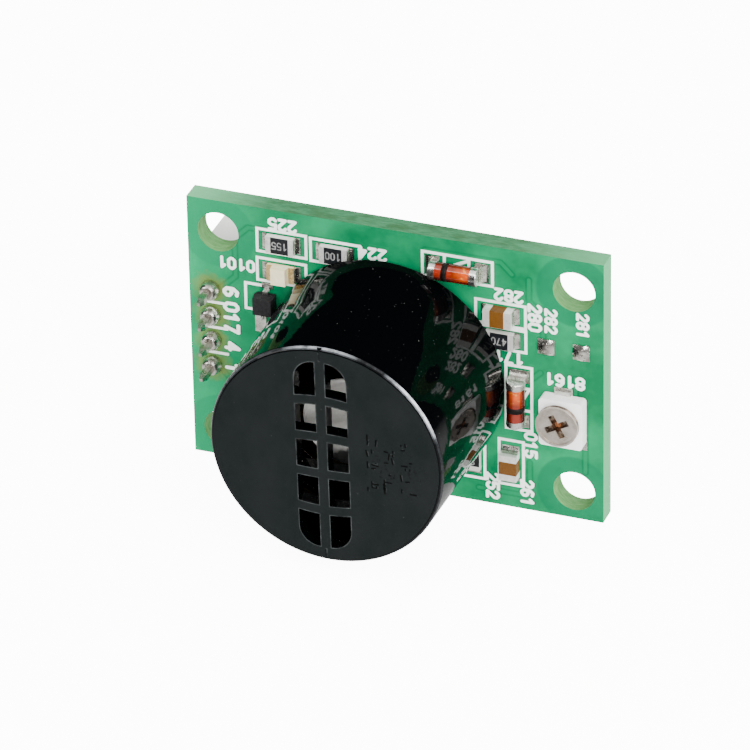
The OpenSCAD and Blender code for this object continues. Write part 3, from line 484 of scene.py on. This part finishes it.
# Each metal and plastic with its light and its dark colour
MATERIALS = {
    "board": board_material(),
    "ink": ink_material(),
    "solder": metal_material("solder", (0.90, 0.87, 0.80), (0.34, 0.31, 0.27),
                             rough=(0.14, 0.38), grain=1.7, depth=0.06),
    "housing": housing_material(),
    "base": plastic_material("base_moulding", (0.020, 0.018, 0.016), (0.035, 0.030, 0.026), 0.5),
    "pins": metal_material("tinned_pin", (0.60, 0.57, 0.50), (0.36, 0.34, 0.29), grain=3.0, depth=0.02),
    "silicone": plastic_material("silicone", (0.62, 0.62, 0.60), (0.52, 0.52, 0.50), 0.55),
    # Brass plate inside the housing, painted dark as the shade in there
    "plate": metal_material("brass_plate", (0.14, 0.11, 0.06), (0.07, 0.055, 0.03), grain=2.0),
    "piezo": plastic_material("piezo_ceramic", (0.60, 0.57, 0.48), (0.50, 0.47, 0.38), 0.5),
    "cone": cone_material(),
    "wire": metal_material("wire", (0.80, 0.42, 0.25), (0.60, 0.30, 0.17), grain=6.0),
    "connector": plastic_material("connector_moulding", (0.96, 0.95, 0.92), (0.91, 0.90, 0.86), 0.45),
    "resistor": resistor_material(),
    "capacitor": capacitor_material(),
    "chip_ends": metal_material("chip_ends", (0.86, 0.85, 0.81), (0.66, 0.65, 0.62),
                                rough=(0.3, 0.55), grain=3.5, metal=0.6),
    "chip_print": plastic_material("chip_print", (0.30, 0.30, 0.29), (0.12, 0.12, 0.12), 0.5),
    # Strokes of a worn mark on the face: painted shade in the cuts and a painted highlight at their edges
    "mark_dark": plastic_material("mark_painted_shade", (0.0008, 0.0010, 0.0010), (0.0006, 0.0008, 0.0008),
                                  0.6, gloss=0.04),
    "mark_pale": plastic_material("mark_painted_highlight", (0.0120, 0.0140, 0.0140), (0.0240, 0.0270, 0.0270),
                                  0.6, gloss=0.05),
    # Burrs along the slots: black with pale patches, a painted highlight on their edges
    "edge_burr": plastic_material("edge_burr", (0.050, 0.056, 0.056), (0.004, 0.005, 0.005),
                                  0.6, grain=3.0, gloss=0.05),
    "lamp_base": plastic_material("lamp_laminate", (0.86, 0.76, 0.50), (0.76, 0.62, 0.36), 0.5),
    "lamp_lens": lens_material(),
    "lamp_ends": metal_material("gold_ends", (0.88, 0.66, 0.32), (0.70, 0.48, 0.20), grain=3.0),
    "black_mould": plastic_material("black_moulding", (0.006, 0.006, 0.007), (0.014, 0.013, 0.015),
                                    0.6, grain=9.0, depth=0.02, gloss=0.2),
    "leads": metal_material("tinned_leads", (0.76, 0.75, 0.72), (0.55, 0.54, 0.50), grain=4.0),
    "diode_glass": glass_material(),
    "diode_caps": metal_material("diode_caps", (0.82, 0.81, 0.77), (0.58, 0.57, 0.53),
                                 rough=(0.16, 0.36), grain=2.6),
    "diode_band": plastic_material("band_paint", (0.004, 0.003, 0.003), (0.010, 0.007, 0.006),
                                   0.35, grain=5.0, depth=0.02, gloss=0.08),
    "die": plastic_material("silicon", (0.10, 0.10, 0.11), (0.06, 0.06, 0.07), 0.3),
    "trimmer_base": plastic_material("white_ceramic", (0.96, 0.96, 0.94), (0.90, 0.90, 0.88), 0.42),
    "rotor": rotor_material(),
    "rivet": metal_material("copper_core", (0.50, 0.20, 0.09), (0.30, 0.10, 0.04), grain=6.0),
}


def dress_nodes():
    """Gives every CAD node the material of its slot."""
    for part in frame["record"]["subparts"]:
        holder = NODES[part["node"]]
        holder.data.materials.clear()
        holder.data.materials.append(MATERIALS[part["material_slot"]])


# Pieces that scene.py adds

def piece(name, mesh, material, body="module"):
    """A new object made from a bmesh, riding on a body."""
    bmesh.ops.recalc_face_normals(mesh, faces=mesh.faces)
    data = bpy.data.meshes.new(name)
    mesh.to_mesh(data)
    mesh.free()
    obj = bpy.data.objects.new(name, data)
    bpy.context.scene.collection.objects.link(obj)
    data.materials.append(MATERIALS[material])
    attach(obj, body)


# A stroke of print: its thickness, and the points of each round end
STROKE_H = 0.004 * MM
END_POINTS = 5
STROKE_FACES = 2 * END_POINTS + 2
# Strokes that cross lie at slightly different heights, so that no two faces share a plane
LEVEL_STEP = 0.0006 * MM
LEVELS = 32


def stroke(mesh, start, end, width, to_row):
    """One straight stroke with round ends: a closed, very thin prism that stands on the print's plane."""
    run = end - start
    angle = math.atan2(run.y, run.x)
    lift = STROKE_H + len(mesh.faces) // STROKE_FACES % LEVELS * LEVEL_STEP
    outline = []
    for tip, first in ((end, -90), (start, 90)):
        for step in range(END_POINTS):
            a = angle + math.radians(first + step * 180 / (END_POINTS - 1))
            outline.append(tip + Vector((math.cos(a), math.sin(a))) * width / 2)
    upper = [mesh.verts.new(to_row(p, lift)) for p in outline]
    lower = [mesh.verts.new(to_row(p, 0.0)) for p in outline]
    mesh.faces.new(upper)
    mesh.faces.new(lower[::-1])
    for k in range(len(outline)):
        mesh.faces.new((upper[k - 1], lower[k - 1], lower[k], upper[k]))


# Strokes of the plain digits, on a grid one wide and two high
DIGITS = {
    "0": [(0, .4), (0, 1.6), (.35, 2), (.65, 2), (1, 1.6), (1, .4), (.65, 0), (.35, 0), (0, .4)],
    "1": [(.1, 1.5), (.55, 2), (.55, 0)],
    "2": [(0, 1.6), (.3, 2), (.7, 2), (1, 1.7), (1, 1.25), (0, 0), (1, 0)],
    "3": [(0, 1.7), (.3, 2), (.7, 2), (1, 1.7), (1, 1.35), (.65, 1.05),
          (1, .7), (1, .3), (.7, 0), (.3, 0), (0, .3)],
    "4": [(.75, 0), (.75, 2), (0, .6), (1, .6)],
    "5": [(1, 2), (.05, 2), (0, 1.1), (.6, 1.2), (1, .9), (1, .35), (.65, 0), (.3, 0), (0, .3)],
    "6": [(.9, 1.9), (.45, 2), (0, 1.4), (0, .4), (.35, 0), (.65, 0),
          (1, .35), (1, .75), (.65, 1.1), (.3, 1.1), (0, .8)],
    "7": [(0, 2), (1, 2), (.35, 0)],
    "8": [(.35, 1.05), (0, 1.35), (0, 1.7), (.3, 2), (.7, 2), (1, 1.7), (1, 1.35), (.65, 1.05),
          (.35, 1.05), (0, .75), (0, .3), (.3, 0), (.7, 0), (1, .3), (1, .75), (.65, 1.05)],
    "9": [(.1, .1), (.55, 0), (1, .6), (1, 1.6), (.65, 2), (.35, 2),
          (0, 1.65), (0, 1.25), (.35, .9), (.7, .9), (1, 1.2)],
}


# From one digit to the next, as a share of a digit's width
ADVANCE = 1.55


def number(mesh, text, x, z, y, size, turn=0.0, weight=0.29, width=0.576, rear=False):
    """Plain digits centred on (x, z) of the plane y, turned anticlockwise as seen from their own side.

    The strokes' weight and a digit's width are shares of its height.
    """
    unit = size / 2
    wide = size * width
    advance = wide * ADVANCE
    start = -(len(text) - 1) / 2 * advance - wide / 2
    spin = Matrix.Rotation(math.radians(turn), 2)
    side = -1 if rear else 1

    def to_row(p, lift):
        q = spin @ p
        return (x + q.x * side, y - lift * side, z + q.y)

    for index, digit in enumerate(text):
        points = [Vector((start + index * advance + u * wide, v * unit - unit)) for u, v in DIGITS[digit]]
        for a, b in zip(points, points[1:]):
            stroke(mesh, a, b, size * weight, to_row)


def board_numbers():
    """The numbers printed on the board, in the places of its part signs."""
    mesh = bmesh.new()
    # Text, the part it stands beside, its place from that part's centre, turn and height
    for text, node, dx, dz, turn, size in (
        ("225", "resistor_1_body", 0.10, 1.42, 180, 0.80),
        ("224", "resistor_2_body", 2.70, 0.45, 180, 0.80),
        ("0101", "lamp_base", -3.30, 0.05, 180, 0.78),
        ("282", "capacitor_1_body", 0.60, 1.52, 180, 0.80),
        ("171", "resistor_3_body", 0.55, -1.42, 180, 0.80),
        ("8161", "trimmer_base", 0.0, 2.86, 180, 0.82),
        ("280", "capacitor_1_body", 2.45, 0.15, -90, 0.82),
        ("282", "capacitor_1_body", 3.60, 0.10, -90, 0.74),
        ("281", "capacitor_1_body", 5.85, 0.15, -90, 0.74),
        ("015", "diode_2_tube", 0.85, -3.60, -90, 0.78),
        ("261", "capacitor_2_body", 1.15, -2.20, -90, 0.80),
        ("252", "resistor_4_body", 1.45, -2.20, -90, 0.80),
        ("6", PINS[0], 1.50, 0.05, -90, 0.95),
        ("017", PINS[1], 1.50, 0.0, -90, 0.95),
        ("4", PINS[2], 1.50, -0.3, -90, 0.95),
        ("1", PINS[3], 1.50, 0.0, -90, 0.95),
    ):
        at = centre(node)
        number(mesh, text, at.x + dx * MM, at.z + dz * MM, PRINT_Y, size * MM, turn)
    piece("board_numbers", mesh, "ink")


def chip_numbers():
    """The small value numbers on the resistors."""
    mesh = bmesh.new()
    for text, node, turn in (("155", "resistor_1_body", 180), ("100", "resistor_2_body", 180),
                             ("470", "resistor_3_body", 180), ("100", "resistor_4_body", -90)):
        at = centre(node)
        number(mesh, text, at.x, at.z, low(node).y, 0.52 * MM, turn, weight=0.16, width=0.48)
    piece("chip_numbers", mesh, "chip_print")


def feet(node):
    """Boxes (x low, z low, x high, z high) of the spots where a node stands on the rear face."""
    touching, same_x, same_z = 0.08 * MM, 0.6 * MM, 1.4 * MM
    spots = []
    for vertex in NODES[node].data.vertices:
        x, y, z = vertex.co
        if abs(y - BOARD_HIGH.y) > touching:
            continue
        for spot in spots:
            if abs(x - (spot[0] + spot[2]) / 2) < same_x and abs(z - (spot[1] + spot[3]) / 2) < same_z:
                spot[:] = [min(spot[0], x), min(spot[1], z), max(spot[2], x), max(spot[3], z)]
                break
        else:
            spots.append([x, z, x, z])
    return spots


def rear_pads():
    """Tinned pads under the leads and chips of the rear face."""
    mesh = bmesh.new()
    thick, past, rounded = 0.03 * MM, 0.16 * MM, 0.012 * MM
    for node in ("controller_leads", "amplifier_leads", "rear_chip_ends"):
        for x0, z0, x1, z1 in feet(node):
            size = Matrix.Diagonal((x1 - x0 + 2 * past, thick, z1 - z0 + 2 * past, 1.0))
            place = Matrix.Translation(((x0 + x1) / 2, BOARD_HIGH.y + thick / 2, (z0 + z1) / 2))
            bmesh.ops.create_cube(mesh, size=1.0, matrix=place @ size)
    bmesh.ops.bevel(mesh, geom=mesh.edges[:], offset=rounded, segments=2, affect="EDGES")
    piece("rear_pads", mesh, "solder")


def rear_print():
    """Numbers and frames printed on the rear face round its guessed parts."""
    mesh = bmesh.new()
    ink_y = BOARD_HIGH.y
    line, margin_x, margin_z, beside = 0.16 * MM, 0.45 * MM, 0.35 * MM, 0.25 * MM
    small, large = 0.8 * MM, 0.85 * MM
    from_frame, from_body, from_connector = 0.95 * MM, 1.25 * MM, 0.8 * MM

    def flat(p, lift):
        return (p.x, ink_y + lift, p.y)

    # Each chip capacitor has two feet, one at each end
    spots = sorted(feet("rear_chip_ends"), key=lambda f: (f[1], f[0]))
    for index, (left, right) in enumerate(zip(spots[::2], spots[1::2])):
        x0, x1 = left[0] - margin_x, right[2] + margin_x
        z0, z1 = left[1] - margin_z, left[3] + margin_z
        corners = [Vector(c) for c in ((x0, z0), (x1, z0), (x1, z1), (x0, z1))]
        for k in range(4):
            stroke(mesh, corners[k - 1], corners[k], line, flat)
        number(mesh, str(21 + index), x1 + from_frame, (z0 + z1) / 2, ink_y, small, rear=True)
    for body, text in (("controller_body", "31"), ("amplifier_body", "32")):
        x0, x1, z0, z1 = low(body).x, high(body).x, low(body).z, high(body).z
        number(mesh, text, x0 - from_body, (z0 + z1) / 2, ink_y, large, rear=True)
        for edge in (x0 - beside, x1 + beside):
            stroke(mesh, Vector((edge, z0)), Vector((edge, z1)), line, flat)
    for pin, text in ((PINS[0], "4"), (PINS[3], "1")):
        x = high("connector_housing").x + from_connector
        number(mesh, text, x, centre(pin).z, ink_y, large, rear=True)
    piece("rear_print", mesh, "ink")


def chip_marks():
    """Plain grey digits on the two rear chips, in two rows each."""
    mesh = bmesh.new()
    row_pitch = 1.24 * MM
    for body, rows in (("controller_body", ("20416", "0731")), ("amplifier_body", ("306", "12"))):
        at = centre(body)
        for row, text in enumerate(rows):
            number(mesh, text, at.x, at.z + (0.5 - row) * row_pitch, high(body).y, 0.85 * MM,
                   weight=0.13, width=0.496, rear=True)
    piece("chip_marks", mesh, "chip_print")


def rubbed_marks():
    """Short strokes without meaning on the face, right of the grille: dark cuts in painted shade, each with
    a pale edge of painted highlight.
    """
    rng = random.Random(11)
    step, cut, over_pale = 0.30 * MM, 0.10 * MM, 0.003 * MM
    strokes, rows = 46, 15
    columns = (10, 11, 12, 14, 15, 16, 18, 19, 20)
    dark, pale = bmesh.new(), bmesh.new()

    def on_face(base):
        return lambda p, lift: (p.x, FACE_Y - base - lift * 0.5, p.y)

    for _ in range(strokes):
        column = rng.choice(columns)
        row = rng.randrange(rows) - rows // 2
        start = Vector((CAN.x + column * step, CAN.z + row * step))
        angle = math.radians(rng.choice((0, 90, 90)) + rng.uniform(-14, 14))
        run = Vector((math.cos(angle), math.sin(angle))) * rng.choice((0.4, 0.8, 1.5)) * step
        edge = Vector((rng.uniform(0.05, 0.12), rng.uniform(-0.05, 0.12))) * MM
        # Each stroke: a pale painted highlight beside a dark cut of painted shade
        stroke(pale, start + edge, start + run * rng.uniform(0.2, 1.0) + edge, cut * 0.6, on_face(0.0))
        stroke(dark, start, start + run, cut, on_face(over_pale))
    piece("marks_painted_shade", dark, "mark_dark")
    piece("marks_painted_highlight", pale, "mark_pale")


def slot_burr_highlights():
    """Thin burrs that the mould left along the edges of the grille's slots, painted paler in patches as a
    highlight along those edges.
    """
    width, rim, on_face = 0.055 * MM, 1.0 * MM, 0.05 * MM
    data = NODES["transducer_housing"].data
    middle = Vector((CAN.x, CAN.z))
    edges = {}
    for face in data.polygons:
        if face.normal.y > -0.99 or abs(face.center.y - FACE_Y) > on_face:
            continue
        points = [Vector((data.vertices[i].co.x, data.vertices[i].co.z)) for i in face.vertices]
        for a, b in zip(points, points[1:] + points[:1]):
            key = frozenset(tuple(round(c / MM, 3) for c in p) for p in (a, b))
            edges.setdefault(key, []).append((a, b))
    # An edge that only one face has bounds a slot, or the face's own rim
    mesh = bmesh.new()
    for sharing in edges.values():
        a, b = sharing[0]
        if len(sharing) == 1 and (a - middle).length < CAN_R - rim:
            stroke(mesh, a, b, width, lambda p, lift: (p.x, FACE_Y - lift * 0.3, p.y))
    piece("slot_burr_highlights", mesh, "edge_burr")


def diode_band(name, tube, axis, shift):
    """Painted band round a glass diode: a closed, thin sleeve just over the tube."""
    thick, half, sides = 0.012 * MM, 0.21 * MM, 64
    inner = (high(tube).y - low(tube).y) / 2
    outer = inner + thick
    section = [(inner, -half), (outer, -half), (outer, half), (inner, half)]
    mesh = bmesh.new()
    rings = []
    for k in range(sides):
        a = 2 * math.pi * k / sides
        rings.append([mesh.verts.new((r * math.cos(a), r * math.sin(a), h)) for r, h in section])
    for k in range(sides):
        here, there = rings[k - 1], rings[k]
        for i in range(4):
            face = mesh.faces.new((here[i - 1], there[i - 1], there[i], here[i]))
            face.smooth = i == 2
    turn = Matrix.Rotation(math.radians(90), 4, "Y") if axis == "X" else Matrix.Identity(4)
    place = centre(tube) + (Vector((shift, 0, 0)) if axis == "X" else Vector((0, 0, shift)))
    bmesh.ops.transform(mesh, matrix=Matrix.Translation(place) @ turn, verts=mesh.verts)
    piece(name, mesh, "diode_band")


def rotor_core():
    """Brown rivet that shows in the rotor's centre hole."""
    at = centre("trimmer_rotor")
    radius, length, deep = 0.24 * MM, 0.5 * MM, 0.65 * MM
    turn = Matrix.Rotation(math.radians(90), 4, "X")
    place = Matrix.Translation((at.x, low("trimmer_rotor").y + deep, at.z))
    mesh = bmesh.new()
    bmesh.ops.create_cone(mesh, cap_ends=True, segments=32, radius1=radius, radius2=radius * 0.9,
                          depth=length, matrix=place @ turn)
    piece("rotor_core", mesh, "rivet", "rotor")


# Studio

# Point that the camera and every light look at
AIM = Vector((-1.56, -1.6, -1.36)) * MM

# Camera, fitted to the photo's edges and holes: angles in degrees, lens and sensor in millimetres
VIEW_AZIMUTH = 20.748
VIEW_ELEVATION = 30.975
VIEW_ROLL = -1.109
VIEW_DISTANCE = 445.22 * MM
LENS = 312.65
SENSOR = 36.0

# What the floor gives off, and how strongly it glows where the camera sees it
FLOOR_LIGHT = 1.4
FLOOR_SEEN = 11.0

# The sky as the camera sees it, as it lights the module and as its mirrors see it
SKY_SEEN = (12.0, 12.0, 12.0)
SKY_SOFT = (0.60, 0.60, 0.60)
SKY_IN_MIRRORS = (0.015, 0.016, 0.018)

# Name, azimuth and elevation in degrees, distance, width and height in metres, watts
LIGHTS = (
    ("key", 48, 36, 0.5, 0.16, 0.14, 2.0),
    ("front", -5, 52, 0.6, 0.60, 0.10, 1.6),
    ("grille", 19, 22, 0.6, 0.10, 0.10, 1.6),
    ("left", -55, 30, 0.5, 0.12, 0.25, 0.8),
    ("right", 74, 11, 0.5, 0.34, 0.12, 1.6),
    ("rear", 178, 8, 0.5, 0.16, 0.10, 1.5),
    ("top", 20, 84, 0.5, 0.62, 0.50, 2.0),
)


def on_sphere(azimuth, elevation, distance):
    """A point round the aim; azimuth 0 is in front of the transducer, and positive is to its right."""
    a, e = math.radians(azimuth), math.radians(elevation)
    return AIM + Vector((math.sin(a) * math.cos(e), -math.cos(a) * math.cos(e), math.sin(e))) * distance


def facing_aim(place):
    """Rotation of a light or a camera that looks from a place at the aim."""
    return (AIM - place).to_track_quat("-Z", "Y").to_matrix()


def area_light(name, azimuth, elevation, distance, width, height, watts):
    data = bpy.data.lights.new(name, "AREA")
    data.shape = "RECTANGLE"
    data.size = width
    data.size_y = height
    data.energy = watts
    obj = bpy.data.objects.new(name, data)
    obj.location = on_sphere(azimuth, elevation, distance)
    obj.rotation_euler = facing_aim(obj.location).to_euler()
    bpy.context.scene.collection.objects.link(obj)


def add_camera():
    """Camera at the photo's angle."""
    data = bpy.data.cameras.new("camera")
    data.lens = LENS
    data.sensor_width = SENSOR
    data.clip_start = 0.01
    data.clip_end = 20.0
    obj = bpy.data.objects.new("camera", data)
    obj.location = on_sphere(VIEW_AZIMUTH, VIEW_ELEVATION, VIEW_DISTANCE)
    roll = Matrix.Rotation(math.radians(VIEW_ROLL), 3, "Z")
    obj.rotation_euler = (facing_aim(obj.location) @ roll).to_euler()
    bpy.context.scene.collection.objects.link(obj)
    bpy.context.scene.camera = obj


def floor_material():
    """Pale floor that glows, and that mirrors see dimmer."""
    s = Shader("studio_floor", Roughness=0.75, Specular_IOR_Level=0.1)
    rays = s.add("LightPath")
    # In mirrors the floor is dark from 10 cm away on, as the room in the photo is
    far = s.span(s.distance_to((0, 0, 0), "XY"), 35.0, 100.0, 0.68, 0.995)
    dim = s.times(rays.outputs["Is Glossy Ray"], far)
    pale = s.mix(s.span(s.noise(0.004, 2.0), 0.3, 0.7), (0.90, 0.90, 0.90), (0.87, 0.87, 0.87))
    s.set(Base_Color=s.mix(dim, pale, (0.004, 0.004, 0.004)))
    # The glow is strong where the camera sees it, and soft as a light from below
    soft = s.times(s.plus(s.times(dim, -1.0), 1.0), FLOOR_LIGHT)
    seen = s.times(rays.outputs["Is Camera Ray"], FLOOR_SEEN)
    s.set(Emission_Color=(1.0, 1.0, 1.0), Emission_Strength=s.greatest(soft, seen))
    s.set(Normal=s.bump(s.noise(0.2, 2.0), 0.02, 0.2))
    return s.material


def add_floor():
    reach, below = 3.0, 0.02 * MM
    mesh = bmesh.new()
    bmesh.ops.create_grid(mesh, x_segments=1, y_segments=1, size=reach)
    data = bpy.data.meshes.new("floor")
    mesh.to_mesh(data)
    mesh.free()
    data.materials.append(floor_material())
    floor = bpy.data.objects.new("floor", data)
    floor.location = (0, 0, BOARD_LOW.z - below)
    bpy.context.scene.collection.objects.link(floor)


def add_sky():
    """A world that is pale to the camera, soft as a light and dark in mirrors."""
    world = bpy.data.worlds.new("studio")
    bpy.context.scene.world = world
    world.use_nodes = True
    sky = Nodes(world.node_tree)
    rays = sky.add("LightPath")
    unseen = sky.mix(rays.outputs["Is Glossy Ray"], SKY_SOFT, SKY_IN_MIRRORS)
    colour = sky.mix(rays.outputs["Is Camera Ray"], unseen, SKY_SEEN)
    sky.fill(world.node_tree.nodes["Background"].inputs["Color"], colour)


dress_nodes()
board_numbers()
chip_numbers()
rear_pads()
rear_print()
chip_marks()
rubbed_marks()
slot_burr_highlights()
diode_band("diode_1_band", "diode_1_tube", "X", -0.55 * MM)
diode_band("diode_2_band", "diode_2_tube", "Z", -0.35 * MM)
rotor_core()
add_camera()
add_floor()
add_sky()
for light in LIGHTS:
    area_light(*light)
